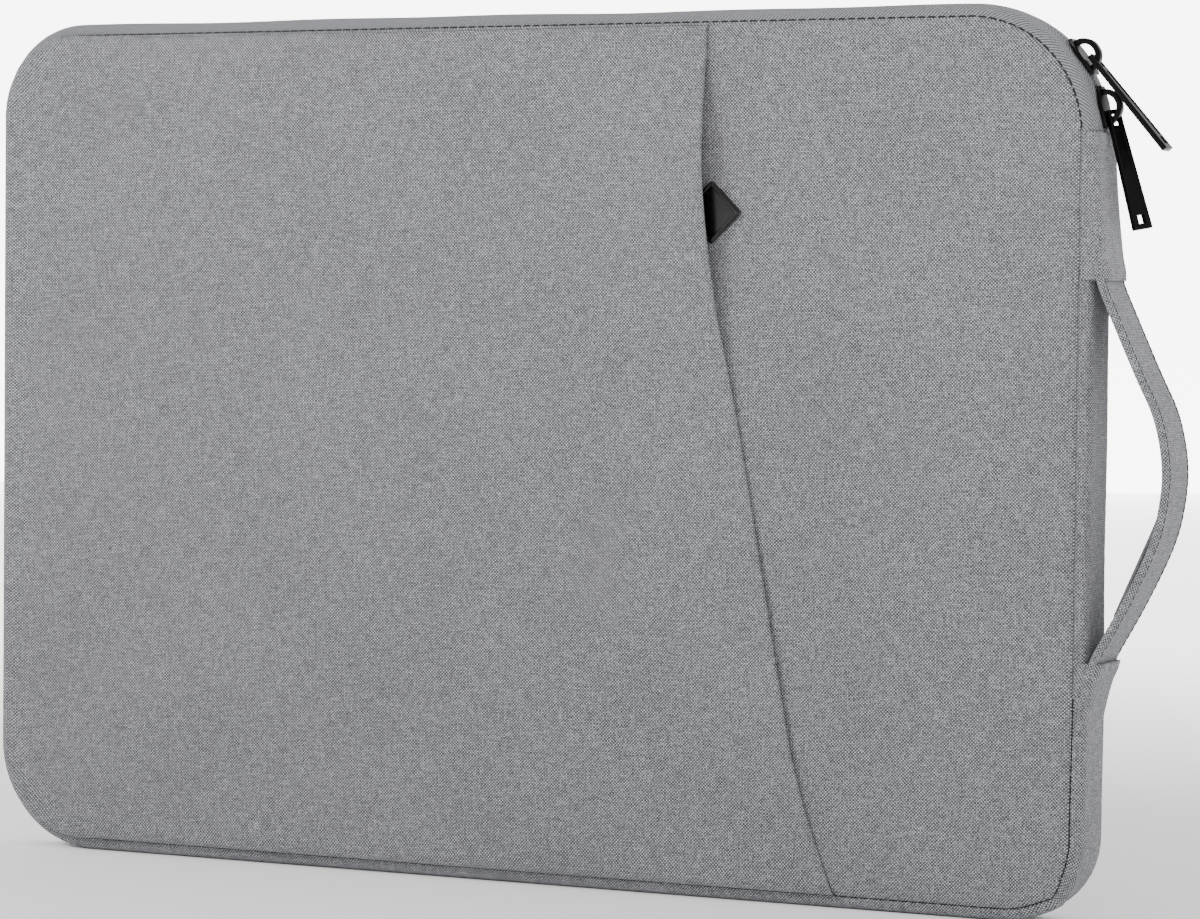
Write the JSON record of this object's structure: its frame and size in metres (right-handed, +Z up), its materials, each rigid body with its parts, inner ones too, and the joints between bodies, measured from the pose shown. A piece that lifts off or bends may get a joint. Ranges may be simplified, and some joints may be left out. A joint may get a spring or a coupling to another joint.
{
  "type": "padded laptop sleeve",
  "caption": "Slim padded cloth sleeve with a zip round its top, a slanted front pocket with a rubber tag, and a carrying handle on its short side",
  "frame": {"origin": "middle of the flat bottom gusset that the sleeve stands on", "axes": "X across the width with the handle on +X, Y through the depth with the pocket on -Y, Z up"},
  "size_m": [0.43, 0.0256, 0.29],
  "materials": {
    "heather_cloth": "plain-woven heather grey polyester, light and dark yarns mixed, matt",
    "zip_tape_twill": "slightly darker grey twill tape, matt",
    "binding_tape": "black woven edge binding",
    "lining_fleece": "short soft pile, dark grey",
    "foam": "soft open foam sheet",
    "nylon_coil": "black nylon zip coil",
    "black_zip_metal": "gloss black enamelled zinc",
    "tag_rubber": "semi-gloss black moulded rubber",
    "webbing": "flat woven stiffening web"
  },
  "bodies": {
    "case": {"front_panel": "heather_cloth", "back_panel": "heather_cloth", "pocket_panel": "heather_cloth", "pocket_hem_tape": "heather_cloth", "gusset_band": "heather_cloth", "handle_upper_tail": "heather_cloth", "handle_lower_tail": "heather_cloth", "upper_handle_cover": "heather_cloth", "lower_handle_cover": "heather_cloth", "front_zip_tape": "zip_tape_twill", "back_zip_tape": "zip_tape_twill", "front_seam_binding": "binding_tape", "back_seam_binding": "binding_tape", "pocket_lining": "lining_fleece", "front_lining": "lining_fleece", "back_lining": "lining_fleece", "gusset_lining": "lining_fleece", "front_foam": "foam", "back_foam": "foam", "gusset_foam": "foam", "front_zip_coil": "nylon_coil", "back_zip_coil": "nylon_coil", "zip_end_stops": "nylon_coil", "pocket_tag": "tag_rubber"},
    "handle": {"handle_wrap": "heather_cloth", "handle_core": "webbing"},
    "lower_slider": {"lower_slider_plates": "black_zip_metal", "lower_slider_crown": "black_zip_metal"},
    "upper_slider": {"upper_slider_plates": "black_zip_metal", "upper_slider_crown": "black_zip_metal"},
    "lower_pull": {"lower_pull_tab": "black_zip_metal"},
    "upper_pull": {"upper_pull_tab": "black_zip_metal"}
  },
  "joints": [
    {"name": "handle_swing", "type": "hinge", "parent": "case", "child": "handle", "pos_m": [0.2108, 0, 0.143], "axis": [0, 0, 1], "range_deg": [-30, 30]},
    {"name": "lower_slider_travel", "type": "hinge", "parent": "case", "child": "lower_slider", "pos_m": [0.16, 0, 0.248], "axis": [0, -1, 0], "range_deg": [0, 22]},
    {"name": "upper_slider_travel", "type": "hinge", "parent": "lower_slider", "child": "upper_slider", "pos_m": [0.16, 0, 0.248], "axis": [0, -1, 0], "range_deg": [0, 22]},
    {"name": "lower_pull_lift", "type": "hinge", "parent": "lower_slider", "child": "lower_pull", "pos_m": [0.20466, 0, 0.25585], "axis": [0, -1, 0], "range_deg": [0, 30]},
    {"name": "upper_pull_lift", "type": "hinge", "parent": "upper_slider", "child": "upper_pull", "pos_m": [0.19782, 0, 0.27301], "axis": [0, -1, 0], "range_deg": [0, 120]}
  ]
}
